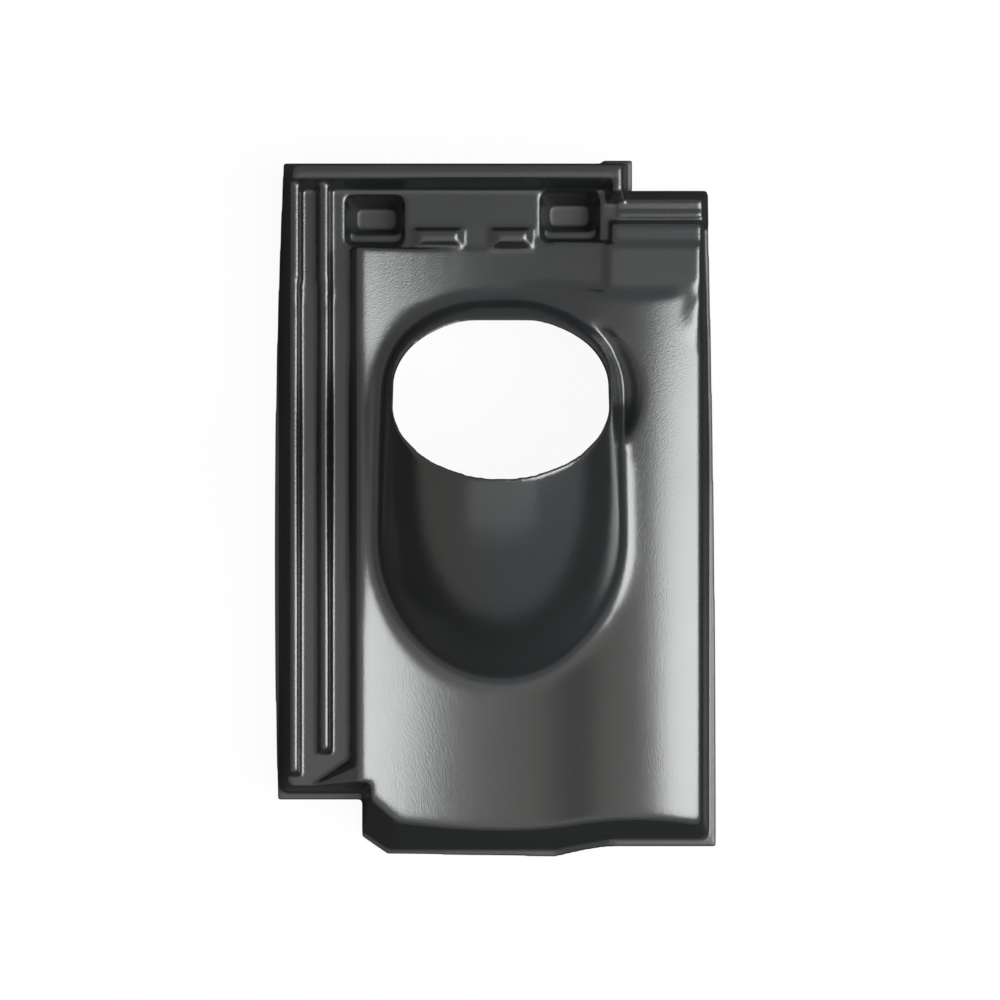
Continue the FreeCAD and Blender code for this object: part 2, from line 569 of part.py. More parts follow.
def corner_ramp(tag, gap):
    """The ramp that closes the channel's lower corner against the lip."""
    extra = GAUGE if gap else NONE
    widen = "-Sizes.sheet_gauge" if gap else NONE
    slope = (EDGE + " + Sizes.ramp_place", "Sizes.ramp_draft", FLOOR)
    top = "%s + Sizes.ramp_rise - (%s)" % (FLOOR, extra)
    lip_side = (EDGE + " + Sizes.channel_width + 1 + 2 * (%s)" % extra, "-Sizes.lip_draft", FLOOR)
    made = block(tag + "RampBlock", slope, lip_side, END, upright(LOWER + " + 99"),
                 FLOOR + " - 9", top, extra)
    tool = block(tag + "RampTool", upright(WEST), upright(EAST), (NONE, "-20", FLOOR), upright("120"),
                 "-20", "90", widen)
    lip_x = -size["tile_width"] / 2 + size["channel_width"] + 4
    low_y = -size["tile_length"] / 2 + size["notch_length"] + size["ramp_length"]
    turned(tool, lip_x, low_y, size["ramp_turn"])
    return cut(tag + "Ramp", made, tool)


def head_forms(tag, gap):
    """Right part of the head: its hollow floor, the cover land and the cover lap with its step."""
    extra = GAUGE if gap else NONE
    base = DEEP if gap else "Sizes.roll_foot"
    start = upright(LAP + " - 29")
    end = (UPPER + " - Sizes.land_setback", "20", FLOOR)
    floor = block(tag + "HollowBlock", upright("Sizes.valley_place - (%s)" % extra),
                  upright("Sizes.land_place + 6"), start, end, FLOOR + " - 16", FLOOR + " + 12", extra)
    round_tool = bore(tag + "HollowBore", "Sizes.valley_place", FLOOR + " + Sizes.head_radius",
                      "Sizes.head_radius + (%s)" % extra)
    hollow = cut(tag + "Hollow", floor, round_tool)
    land_left = ("Sizes.land_place", "45", FLOOR + " + Sizes.land_rise")
    land = block(tag + "LandBlock", land_left, RIGHT, start, end, base,
                 "%s + Sizes.land_rise - (%s)" % (FLOOR, extra), extra)
    cover_left = ("Sizes.land_place + 1", "30", FLOOR)
    cover = block(tag + "CoverBlock", cover_left, RIGHT, start, COVER, base,
                  "%s - Sizes.cover_drop - (%s)" % (FLOOR, extra), extra)
    radius = inner_round("cover_round") if gap else size["cover_round"]
    cover = rounded(tag + "CoverSoft", cover, radius, ["high right"])
    step_end = (UPPER + " - Sizes.step_setback", "25", FLOOR)
    step = block(tag + "StepBlock", ("Sizes.land_place - 1", "30", FLOOR), RIGHT, start, step_end,
                 FLOOR + " - 12", "%s + Sizes.step_rise - (%s)" % (FLOOR, extra), extra)
    if not gap:
        land = rounded("LandSoft", land, size["land_round"], ["left", "right", "high"])
        step = rounded("StepSoft", step, size["land_round"], ["left", "right", "high"])
    forms = [hollow]
    for form, title in ((land, "Land"), (cover, "Cover"), (step, "Step")):
        forms.append(bowed(tag + title, form, "right", gap, ROLL_INSET))
    if gap:
        return forms
    for count in range(2):
        high = "%s - Sizes.ridge_setback - %d * Sizes.ridge_pitch" % (UPPER, count)
        ridge_left = (RIDGE_END + " - Sizes.ridge_length", "25", FLOOR)
        ridge = block("Ridge%d" % (count + 1), ridge_left, (RIDGE_END, "25", FLOOR),
                      (high + " - Sizes.ridge_width", "25", FLOOR), (high, "25", FLOOR), FLOOR + " - 10",
                      "%s - Sizes.cover_drop + Sizes.ridge_rise" % FLOOR)
        forms.append(rounded("RidgeSoft%d" % (count + 1), ridge, 0.8, ["low", "high"]))
    return forms


def bump(tag, side, gap):
    """A low stacking bump on the head floor."""
    extra = GAUGE if gap else NONE
    place = "Sizes.%s_bump_place" % side
    half = "Sizes.%s_bump_width / 2" % side
    high = UPPER + " - Sizes.bump_setback"
    return block(tag + side.title() + "Bump", ("%s - %s" % (place, half), "52", FLOOR),
                 ("%s + %s" % (place, half), "48", FLOOR), (high + " - Sizes.bump_length", "50", FLOOR),
                 (high, "28", FLOOR), FLOOR + " - 8", "%s + Sizes.bump_rise - (%s)" % (FLOOR, extra), extra)


def nib(tag, side, gap):
    """Hollow of a batten nib, or the nib's body under the floor when the gap is negative."""
    widen = "-Sizes.sheet_gauge" if gap else NONE
    drop = GAUGE if gap else NONE
    place = "Sizes.%s_nib_place" % side
    lean = "-Sizes.nib_draft"
    left = (place + " - Sizes.nib_width / 2", lean, FLOOR)
    right = (place + " + Sizes.nib_width / 2", lean, FLOOR)
    high = (UPPER + " - Sizes.%s_nib_setback" % side, lean, FLOOR)
    low = (high[0] + " - Sizes.nib_length", lean, FLOOR)
    deep_low = (high[0] + " - Sizes.nib_reach", lean, FLOOR)
    ledge = block(tag + side.title() + "Ledge", left, right, low, high,
                  "%s - Sizes.nib_ledge - (%s)" % (FLOOR, drop), FLOOR + " + 1", widen)
    deep = block(tag + side.title() + "Deep", left, right, deep_low, high,
                 "%s - Sizes.nib_depth - (%s)" % (FLOOR, drop), FLOOR + " - 4", widen)
    corners = ["low left", "low right", "high left", "high right"]
    radius = size["nib_round"] + (size["sheet_gauge"] if gap else 0.0)
    ledge = rounded(tag + side.title() + "LedgeSoft", ledge, radius, corners)
    deep = rounded(tag + side.title() + "DeepSoft", deep, radius, corners)
    return [ledge, deep]


def moat(tag, gap):
    """Conical clearance cut into the roll beside the hood, so that the hood's wall runs down to the pan."""
    made = doc.addObject("Part::Cone", tag + "Moat")
    made.Height = 30
    widen = "Sizes.sheet_gauge / cos(Sizes.moat_draft)" if gap else NONE
    drop = GAUGE if gap else NONE
    slip = "(%s) * tan(Sizes.moat_draft)" % drop
    made.setExpression("Radius1", "Sizes.moat_radius + (%s) - %s" % (widen, slip))
    made.setExpression("Radius2", "Sizes.moat_radius + (%s) - %s + 30 * tan(Sizes.moat_draft)" %
                       (widen, slip))
    made.setExpression("Placement.Base.x", "Sizes.hood_middle + Sizes.moat_place")
    made.setExpression("Placement.Base.y", "%s - Sizes.moat_setback" % UPPER)
    made.setExpression("Placement.Base.z", "%s + Sizes.moat_floor - (%s)" % (FLOOR, drop))
    return made


def hood_form(tag, gap, spread=NONE):
    """The slanted hood: three slot-shaped sections joined by one smooth loft."""
    floor = size["floor_height"]
    back = size["tile_length"] / 2 - size["hood_setback"]
    grow = float(spread)
    thin = size["sheet_gauge"] if gap else -grow
    shrink = GAUGE if gap else "-" + spread
    middle = (size["sheet_gauge"] + size["hood_wall"]) / 2 if gap else -grow
    mid_text = "(Sizes.sheet_gauge + Sizes.hood_wall) / 2" if gap else "-" + spread
    brow = size["hood_brow"] * 0.6 if gap else -grow
    brow_text = "Sizes.hood_brow * 0.6" if gap else "-" + spread
    base = slot_section(
        tag + "HoodBase",
        size["hood_radius"] - thin, size["hood_length"] - thin, size["hood_corner"] - thin,
        FreeCAD.Vector(size["hood_middle"], back - size["hood_length"], floor - size["hood_sink"] - thin), 0,
        ["Sizes.hood_radius - (%s)" % shrink, "Sizes.hood_length - (%s)" % shrink,
         "Sizes.hood_corner - (%s)" % shrink])
    waist = slot_section(
        tag + "HoodWaist",
        size["waist_radius"] - middle, size["waist_back"] - brow, size["hood_corner"] - middle,
        FreeCAD.Vector(size["hood_middle"], back - size["waist_setback"], floor + size["waist_rise"]),
        size["waist_tilt"],
        ["Sizes.waist_radius - (%s)" % mid_text, "Sizes.waist_back - (%s)" % brow_text,
         "Sizes.hood_corner - (%s)" % mid_text])
    eye = FreeCAD.Vector(size["hood_middle"], back - size["hole_setback"], floor + size["hole_rise"])
    if gap:
        mouth = slot_section(
            tag + "HoodMouth", size["hole_radius"], size["hole_reach"], size["hole_corner"], eye,
            size["hood_tilt"], ["Sizes.hole_radius", "Sizes.hole_reach", "Sizes.hole_corner"])
    else:
        mouth = slot_section(
            tag + "HoodMouth", size["hole_radius"] + size["hood_wall"] + grow,
            size["hole_reach"] + size["hood_brow"] + grow, size["hood_corner"] + grow, eye,
            size["hood_tilt"],
            ["Sizes.hole_radius + Sizes.hood_wall + " + spread,
             "Sizes.hole_reach + Sizes.hood_brow + " + spread,
             "Sizes.hood_corner + " + spread])
    made = loft(tag + "Hood", [base, waist, mouth])
    if not gap:
        return [made]
    tilt = math.radians(size["hood_tilt"])
    way = FreeCAD.Vector(0, math.sin(tilt), math.cos(tilt))
    out = extruded(tag + "HoodOpening", mouth, way, "20", "0.5")
    return [made, out]


def ribs():
    """The two water ribs of the channel, a little higher inside the head lap."""
    made = []
    end_one = (LOWER + " + Sizes.rib_one_end", "25", FLOOR)
    end_two = (LOWER + " + Sizes.rib_two_end", "25", FLOOR)
    lap = (LAP, "25", FLOOR)
    high = upright(UPPER + " - 12")
    for tag, low_one, low_two, lift in (("", end_one, end_two, NONE), ("Head", lap, lap, "Sizes.rib_step")):
        top = "%s + Sizes.rib_rise + (%s)" % (FLOOR, lift)
        inner = (EDGE + " + Sizes.rib_one_width + (%s)" % lift, "9", FLOOR)
        one = block(tag + "RibOneBlock", LEFT, inner, low_one, high, FLOOR + " - 8", top)
        made.append(rounded(tag + "RibOne", one, size["rib_round"], ["left", "right", "low"]))
        left = (EDGE + " + Sizes.rib_two_place - (%s)" % lift, "22", FLOOR)
        right = (EDGE + " + Sizes.rib_two_place + Sizes.rib_two_width", "12", FLOOR)
        two = block(tag + "RibTwoBlock", left, right, low_two, high, FLOOR + " - 8", top)
        made.append(rounded(tag + "RibTwo", two, size["rib_round"], ["left", "right", "low"]))
    return made


def feet():
    """The trimmed foot: a flat plate round the tile, raised under the roll."""
    gauge = "Sizes.foot_gauge"
    low = upright(LOWER + " + Sizes.notch_length - 3.8")
    high = upright(UPPER + " - 1.8")
    left = block("FootLeftBlock", upright(EDGE), upright(EDGE + " + 80"), low, high, NONE, gauge)
    left = rounded("FootLeftSoft", left, size["foot_round"], ["high left"])
    left = bowed("FootLeft", left, "left", False, NONE)
    head = block("FootHead", upright(EDGE + " + 40"), upright(EDGE + " + Sizes.head_width"),
                 upright(UPPER + " - 40"), high, NONE, gauge)
    tab_right = EDGE + " + Sizes.head_width + 3.2"
    tab = block("FootTab", upright(tab_right + " - Sizes.tab_width"), upright(tab_right),
                upright(UPPER + " - 34"), upright(UPPER), NONE, gauge)
    roll = block("FootRollBlock", upright("Sizes.roll_foot_place"), upright("Sizes.tile_width / 2"),
                 upright(LOWER + " + Sizes.roll_setback"), upright(UPPER + " - Sizes.cover_setback + 0.4"),
                 "Sizes.roll_foot", "Sizes.roll_foot + " + gauge)
    roll = rounded("FootRollSoft", roll, size["cover_round"] + 2, ["high right"])
    roll = bowed("FootRoll", roll, "right", False, NONE)
    return [left, head, tab, roll, nose_foot()]


def polygon(name, turn, corners):
    """A closed sketch of straight lines whose corners are bound to the sheet."""
    sketch = doc.addObject("Sketcher::SketchObject", name)
    sketch.Placement = FreeCAD.Placement(FreeCAD.Vector(), FreeCAD.Rotation(FreeCAD.Vector(1, 0, 0), turn))
    points = [FreeCAD.Vector(x_value, y_value, 0) for x_value, x_text, y_value, y_text in corners]
    count = len(points)
    for index in range(count):
        sketch.addGeometry(Part.LineSegment(points[index], points[(index + 1) % count]), False)
    for index in range(count):
        sketch.addConstraint(Sketcher.Constraint("Coincident", index, 2, (index + 1) % count, 1))
    for index, (x_value, x_text, y_value, y_text) in enumerate(corners):
        constrain(sketch, Sketcher.Constraint("DistanceX", -1, 1, index, 1, x_value), x_text)
        constrain(sketch, Sketcher.Constraint("DistanceY", -1, 1, index, 1, y_value), y_text)
    return sketch


def nose_foot():
    """Foot of the nose: its section rises to the roll's level, and its front steps back there."""
    low = -size["tile_length"] / 2
    side = size["tile_width"] / 2
    notch = -side + size["notch_width"]
    start = size["low_foot_place"]
    risen = size["roll_foot_place"]
    thick = size["foot_gauge"]
    level = size["roll_foot"]
    notch_text = EDGE + " + Sizes.notch_width"
    side_text = "Sizes.tile_width / 2"
    start_text = "Sizes.low_foot_place"
    risen_text = "Sizes.roll_foot_place"
    level_text = "Sizes.roll_foot"
    thick_text = "Sizes.foot_gauge"
    section = polygon("NoseFootSection", 90, [
        (notch, notch_text, 0.0, NONE),
        (start, start_text, 0.0, NONE),
        (risen, risen_text, level, level_text),
        (side, side_text, level, level_text),
        (side, side_text, level + thick, level_text + " + " + thick_text),
        (risen, risen_text, level + thick, level_text + " + " + thick_text),
        (start, start_text, thick, thick_text),
        (notch, notch_text, thick, thick_text),
    ])
    bar = extruded("NoseFootBar", section, FreeCAD.Vector(0, 1, 0), LOWER + " + 40", UPPER + " + 9")
    cut_x = notch + size["corner_cut"]
    cut_rise = 1.8 + size["corner_cut"] * math.tan(math.radians(size["corner_turn"]))
    rise_text = "1.8 + Sizes.corner_cut * tan(Sizes.corner_turn)"
    outline = polygon("NoseFootOutline", 0, [
        (notch, notch_text, low + 45, LOWER + " + 45"),
        (notch, notch_text, low + cut_rise, "%s + %s" % (LOWER, rise_text)),
        (cut_x, notch_text + " + Sizes.corner_cut", low + 1.8, LOWER + " + 1.8"),
        (start, start_text, low, LOWER),
        (risen, risen_text, low + size["roll_setback"], LOWER + " + Sizes.roll_setback"),
        (side, side_text, low + size["roll_setback"], LOWER + " + Sizes.roll_setback"),
        (side, side_text, low + 45, LOWER + " + 45"),
    ])
    plan = extruded("NoseFootPlan", outline, FreeCAD.Vector(0, 0, 1), "60", "10")
    made = doc.addObject("Part::Common", "NoseFoot")
    made.Base = bar
    made.Tool = plan
    return made


def relief():
    """Space under the roll's foot, where the next tile's channel lies."""
    start = size["low_foot_place"]
    risen = size["roll_foot_place"]
    section = polygon("ReliefSection", 90, [
        (start, "Sizes.low_foot_place", 0.0, NONE),
        (start, "Sizes.low_foot_place", -60.0, "-60"),
        (size["tile_width"], "Sizes.tile_width", -60.0, "-60"),
        (size["tile_width"], "Sizes.tile_width", size["roll_foot"], "Sizes.roll_foot"),
        (risen, "Sizes.roll_foot_place", size["roll_foot"], "Sizes.roll_foot"),
    ])
    end = UPPER + " - Sizes.land_setback - 1"
    return extruded("Relief", section, FreeCAD.Vector(0, 1, 0), end, UPPER + " + 60")


def blended_hood(made):
    """Eases the hollow corner all round the hood, where it rises from the pan, the flank and the roll."""
    made.Refine = True
    doc.recompute()
    shape = made.Shape
    reach = (size["hood_length"] + size["hood_radius"]) / 2
    middle = size["tile_length"] / 2 - size["hood_setback"] - reach
    numbers = []
    for number, edge in enumerate(shape.Edges, 1):
        faces = shape.ancestorsOfType(edge, Part.Face)
        drawn = [face for face in faces if isinstance(face.Surface, Part.BSplineSurface)]
        curved = [face for face in faces if isinstance(face.Surface, Part.Cylinder)]
        along = abs(edge.CenterOfMass.y - middle) < reach + size["hood_blend"]
        across = abs(edge.CenterOfMass.x - size["hood_middle"]) < size["hood_radius"]
        if len(drawn) == 1 and len(curved) == 1 and along and across:
            numbers.append(number)
    soft = doc.addObject("Part::Chamfer", "HoodBlend")
    soft.Base = made
    soft.Edges = [(number, size["hood_blend"], size["hood_blend"]) for number in numbers]
    return soft


outer = [body_form("Outer", False)]
outer += strip_and_head("Outer", False)
outer.append(corner_ramp("Outer", False))
outer += head_forms("Outer", False)
outer += [bump("Outer", "left", False), bump("Outer", "right", False)]
outer += ribs()
outer += feet()
inner = [body_form("Inner", True)]
inner += strip_and_head("Inner", True)
inner.append(corner_ramp("Inner", True))
inner += head_forms("Inner", True)
inner += [bump("Inner", "left", True), bump("Inner", "right", True)]

# Outer skin: all forms joined, the hood blended in, then the clearance beside the hood.
plain = join("OuterForms", outer)
blended = blended_hood(join("OuterSkin", [plain] + hood_form("Outer", False)))
guard = hood_form("Guard", False, "0.4")
clearance = cut("OuterClearance", moat("Outer", False), guard[0])
skin = cut("OuterCarved", blended, clearance)

# Space under the sheet, kept away from the nibs and from the clearance.
hollow = join("InnerForms", inner)
nibs = nib("Body", "left", True) + nib("Body", "right", True)
stops = join("InnerStops", nibs + [moat("Inner", True)])
kept = cut("InnerKept", hollow, stops)
space = join("InnerSpace", [kept] + hood_form("Inner", True))

shell = cut("Shell", skin, space)
pockets = join("Pockets", nib("Hollow", "left", False) + nib("Hollow", "right", False))
formed = cut("Formed", shell, pockets)
part = cut("vent_tile", formed, relief())
part.Label = "vent_tile"
doc.recompute()

for thing in doc.Objects:
    if "Invalid" in thing.State or "Error" in thing.State:
        raise RuntimeError("%s was not rebuilt" % thing.Label)
    if hasattr(thing, "Shape") and (thing.Shape.isNull() or not thing.Shape.isValid()):
        raise RuntimeError("%s has no valid shape" % thing.Label)
if len(part.Shape.Solids) != 1:
    raise RuntimeError("the tile is not one solid")

os.makedirs("parts", exist_ok=True)
part.Shape.exportStep("parts/%s.step" % part.Label)
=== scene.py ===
import math

import bpy
import numpy as np
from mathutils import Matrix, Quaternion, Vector
from mathutils.kdtree import KDTree


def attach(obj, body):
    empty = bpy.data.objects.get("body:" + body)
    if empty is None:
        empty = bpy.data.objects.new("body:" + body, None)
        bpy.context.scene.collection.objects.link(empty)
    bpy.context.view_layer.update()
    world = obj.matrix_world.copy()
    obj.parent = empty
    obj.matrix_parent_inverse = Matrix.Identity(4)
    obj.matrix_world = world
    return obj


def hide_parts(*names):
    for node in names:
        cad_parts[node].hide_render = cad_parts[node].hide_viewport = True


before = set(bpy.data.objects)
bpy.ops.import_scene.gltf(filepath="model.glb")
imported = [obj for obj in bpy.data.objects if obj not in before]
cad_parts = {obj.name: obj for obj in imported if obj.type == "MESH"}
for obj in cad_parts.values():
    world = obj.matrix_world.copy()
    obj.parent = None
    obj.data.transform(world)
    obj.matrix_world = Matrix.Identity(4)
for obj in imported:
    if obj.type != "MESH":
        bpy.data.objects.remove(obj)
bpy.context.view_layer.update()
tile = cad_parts["vent_tile"]

# Places on the tile, in metres, in the part's own frame.
FOOT_GAUGE = 0.0032
ROLL_FOOT = 0.012
ROLL_FOOT_X = 0.072
MOUTH_CENTRE = (0.004, 0.0657, 0.0903)
MOUTH_TILT = math.radians(43.0)
RING_LOW = 0.0385
RING_HALF = 0.0005
NIB_PLACES = (-0.074, 0.047)
NIB_HALF = 0.021
NIB_Y = 0.180
NIB_REACH = 0.021
NIB_FLOOR, NIB_STEP = 0.008, 0.022
HEAD_LAP_Y = 0.139
LIP_X = -0.076
CHANNEL_X = -0.0895
DRAWN_FROM, DRAWN_FULL = 0.042, 0.062
# The hood's base in plan: its round front (y, radius), and its back (y, half width, corner radius).
HOOD_MIDDLE = 0.004
HOOD_FRONT = (-0.0346, 0.0765)
HOOD_BACK = (0.074, 0.0195, 0.057)
# The clearance in the roll beside the hood: x, y and reach.
MOAT = (0.043, 0.072, 0.058)
MOAT_X = 0.072
MOAT_TOP = 0.05
# The roll's edge below the head lap: x, y, half length and z.
ROLL_EDGE = (0.112, 0.118, 0.020, 0.020)

# The eased sheet: grid size, most rounds of easing and the target for its faces.
GRID = 0.0009
EASE_ROUNDS = 90
EASE_STEP = 0.5
EASE_BLUR = 6
MOST_FACES = 190000

# Where the easing changes: the hood's wall, the band at its base, and the cut edges.
HOOD_WALL_Z = 0.045
BASE_TOP = 0.06
BASE_OUT, BASE_REACH = 0.002, 0.018
MOUTH_REACH = 0.003
FOOT_REACH = 0.0045

# Rounds of easing in each region of the sheet.
PAN_ROUNDS = 36.0
HOOD_ROUNDS = 16.0
LIP_ROUNDS = 16.0
RIB_ROUNDS = 7.0
HEAD_ROUNDS = 7.0
MOAT_ROUNDS = 30.0
MOUTH_ROUNDS = 20.0
FOOT_ROUNDS = 6.0

# Colours of the plastic.
SHEET_COLOUR = (0.0115, 0.0120, 0.0125, 1)
FOOT_COLOUR = (0.026, 0.025, 0.025, 1)
RING_COLOUR = (0.015, 0.015, 0.016, 1)

# The grain of the sheet: noise scales and shares, depths, and the height of one full step.
FINE_GRAIN, FINE_SHARE = 1000.0, 0.88
SOFT_GRAIN, SOFT_SHARE = 260.0, 0.12
PAN_GRAIN_DEPTH, HOOD_GRAIN_DEPTH, FOOT_GRAIN_DEPTH = 0.26, 0.16, 0.5
GRAIN_HEIGHT = 0.0004
CORNER_RADIUS = 0.0022

# The studio.
CAMERA_PLACE = (0.0035, 0.0054, 1.6)
CAMERA_LENS = 91.44
SOFTBOX_TURN = 29.0
FLOOR_DROP = 0.0003
WORLD_LEVEL = 0.4
WARM_SIDE = (1.01, 0.985, 0.94, 1)
COOL_SIDE = (0.93, 1.0, 1.04, 1)
WHITE = (1, 1, 1, 1)


class Nodes:
    """Small helper that adds shader nodes and links them."""

    def __init__(self, tree):
        self.tree = tree
        tree.nodes.clear()

    def add(self, kind, inputs=None, **settings):
        node = self.tree.nodes.new(kind)
        for name, value in settings.items():
            setattr(node, name, value)
        for name, value in (inputs or {}).items():
            self.feed(node, name, value)
        return node

    def feed(self, node, name, value):
        if isinstance(value, bpy.types.NodeSocket):
            self.tree.links.new(value, node.inputs[name])
        else:
            node.inputs[name].default_value = value

    def math(self, operation, one, two=0.0):
        return self.add("ShaderNodeMath", {0: one, 1: two}, operation=operation).outputs[0]

    def within(self, value, middle, reach):
        """1 where a value lies nearer to the middle than the reach."""
        away = self.math("ABSOLUTE", self.math("SUBTRACT", value, middle))
        return self.math("LESS_THAN", away, reach)

    def span(self, value, low, high, out_low=0.0, out_high=1.0):
        node = self.add("ShaderNodeMapRange", {0: value, 1: low, 2: high, 3: out_low, 4: out_high})
        return node.outputs[0]

    def noise(self, place, scale, detail, roughness):
        inputs = {"Vector": place, "Scale": scale, "Detail": detail, "Roughness": roughness}
        return self.add("ShaderNodeTexNoise", inputs).outputs["Fac"]

    def mix(self, share, one, two, blend="MIX"):
        node = self.add("ShaderNodeMix", {0: share, 6: one, 7: two}, data_type="RGBA", blend_type=blend)
        return node.outputs[2]


def plastic_material():
    """Satin black formed sheet: a fine grain, smoother drawn hood walls, duller trimmed edges, and
    painted shade on the deep nib pit floors.
    """
    material = bpy.data.materials.new("formed_black_sheet")
    material.use_nodes = True
    n = Nodes(material.node_tree)
    place = n.add("ShaderNodeTexCoord").outputs["Object"]
    axes = n.add("ShaderNodeSeparateXYZ", {0: place})
    x, y, z = axes.outputs[0], axes.outputs[1], axes.outputs[2]

    # Distance from the slanted cut of the mouth marks its sawn ring.
    rise = n.math("MULTIPLY", n.math("SUBTRACT", z, MOUTH_CENTRE[2]), math.cos(MOUTH_TILT))
    run = n.math("MULTIPLY", n.math("SUBTRACT", y, MOUTH_CENTRE[1]), math.sin(MOUTH_TILT))
    off_cut = n.math("ABSOLUTE", n.math("ADD", rise, run))
    on_cut = n.math("LESS_THAN", off_cut, RING_HALF)
    ring = n.math("MULTIPLY", on_cut, n.math("GREATER_THAN", z, RING_LOW))

    # The trimmed foot lies at the bottom, and higher under the roll.
    on_roll = n.math("GREATER_THAN", x, ROLL_FOOT_X)
    foot_level = n.math("ADD", n.math("MULTIPLY", on_roll, ROLL_FOOT), FOOT_GAUGE)
    foot = n.math("LESS_THAN", z, foot_level)

    # The floors of the two batten nibs lie deep in the head: they are dull, and their colour is
    # darkened with depth as painted shade.
    beside = n.math("ADD", n.within(x, NIB_PLACES[0], NIB_HALF), n.within(x, NIB_PLACES[1], NIB_HALF))
    nib_pit_dull_and_painted_shade = n.math("MULTIPLY", beside, n.within(y, NIB_Y, NIB_REACH))
    nib_pit_dull_and_painted_shade = n.math("MULTIPLY", nib_pit_dull_and_painted_shade, n.span(z, NIB_FLOOR, NIB_STEP, 1.0, 0.0))

    # The hood is drawn further than the rest, so its grain is shallower.
    drawn = n.span(z, DRAWN_FROM, DRAWN_FULL)
    grain_fine = n.math("MULTIPLY", n.noise(place, FINE_GRAIN, 2.0, 0.5), FINE_SHARE)
    grain_soft = n.math("MULTIPLY", n.noise(place, SOFT_GRAIN, 2.0, 0.5), SOFT_SHARE)
    grain = n.math("ADD", grain_fine, grain_soft)
    depth = n.span(drawn, 0.0, 1.0, PAN_GRAIN_DEPTH, HOOD_GRAIN_DEPTH)
    depth = n.math("ADD", depth, n.math("MULTIPLY", foot, FOOT_GRAIN_DEPTH))
    soft_corner = n.add("ShaderNodeBevel", {"Radius": CORNER_RADIUS}, samples=8).outputs[0]
    bump = n.add("ShaderNodeBump", {"Strength": depth, "Distance": GRAIN_HEIGHT, "Height": grain,
                                    "Normal": soft_corner})

    # Wide soft clouds vary the gloss and the shade a little.
    cloud = n.noise(place, 14.0, 3.0, 0.6)
    rough = n.span(cloud, 0.3, 0.7, 0.23, 0.27)
    rough = n.math("SUBTRACT", rough, n.math("MULTIPLY", drawn, 0.04))
    rough = n.math("ADD", rough, n.math("MULTIPLY", foot, 0.2))
    rough = n.math("ADD", rough, n.math("MULTIPLY", nib_pit_dull_and_painted_shade, 0.3))
    shade = n.span(cloud, 0.25, 0.75, 0.9, 1.1)
    # Painted shade: the colour is darkened to 0.6 on the deep nib pit floors.
    shade = n.math("MULTIPLY", shade, n.span(nib_pit_dull_and_painted_shade, 0.0, 1.0, 1.0, 0.6))
    colour = n.mix(foot, SHEET_COLOUR, FOOT_COLOUR)
    colour = n.mix(ring, colour, RING_COLOUR)
    colour = n.mix(1.0, colour, shade, "MULTIPLY")
    shader = n.add("ShaderNodeBsdfPrincipled", {"Base Color": colour, "Roughness": rough,
                                                "Normal": bump.outputs[0], "IOR": 1.55,
                                                "Specular IOR Level": 1.0})
    n.add("ShaderNodeOutputMaterial", {"Surface": shader.outputs[0]})
    return material


def floor_material():
    """White paper to the camera, with a faint shadow; dark to reflections, as the studio's floor is."""
    material = bpy.data.materials.new("white_paper")
    material.use_nodes = True
    n = Nodes(material.node_tree)
    dark = n.add("ShaderNodeBsdfDiffuse", {"Color": (0.06, 0.06, 0.06, 1)})
    paper = n.add("ShaderNodeBsdfDiffuse", {"Color": (0.9, 0.9, 0.9, 1)})
    glow = n.add("ShaderNodeEmission", {"Color": WHITE, "Strength": 1.0})
    white = n.add("ShaderNodeMixShader", {0: 0.94, 1: paper.outputs[0], 2: glow.outputs[0]})
    seen = n.add("ShaderNodeLightPath").outputs["Is Camera Ray"]
    mixed = n.add("ShaderNodeMixShader", {0: seen, 1: dark.outputs[0], 2: white.outputs[0]})
    n.add("ShaderNodeOutputMaterial", {"Surface": mixed.outputs[0]})
    return material


def panel(name, place, aim, size, power, colour, turn=0.0):
    """A soft rectangular studio light, turned about its own axis."""
    light = bpy.data.lights.new(name, "AREA")
    light.shape = "RECTANGLE"
    light.size, light.size_y = size
    light.energy = power
    light.color = colour
    made = bpy.data.objects.new(name, light)
    bpy.context.scene.collection.objects.link(made)
    made.location = place
    way = Vector(aim) - Vector(place)
    facing = way.to_track_quat("-Z", "Y")
    made.rotation_euler = (facing @ Quaternion((0, 0, 1), math.radians(turn))).to_euler()


def applied(made):
    """The mesh that an object's modifiers give, which are then taken off."""
    bpy.context.view_layer.update()
    mesh = bpy.data.meshes.new_from_object(made.evaluated_get(bpy.context.evaluated_depsgraph_get()))
    made.modifiers.clear()
    return mesh


def grid_copy(source):
    """The solid's own skin, remade as an even grid."""
    made = bpy.data.objects.new("formed_tile", source.data.copy())
    bpy.context.scene.collection.objects.link(made)
    remesh = made.modifiers.new("grid", "REMESH")
    remesh.mode = "VOXEL"
    remesh.voxel_size = GRID
    made.data = applied(made)
    return made


def off_hood(x, y):
    """Distance in plan from the outline of the hood's base, inside negative."""
    across = np.abs(x - HOOD_MIDDLE)
    front_y, front_radius = HOOD_FRONT
    back_y, back_half, back_radius = HOOD_BACK
    front = np.hypot(across, y - front_y) - front_radius
    back = np.hypot(np.maximum(across - back_half, 0), y - back_y) - back_radius
    side = across - front_radius
    return np.where(y < front_y, front, np.where(y > back_y, back, side))


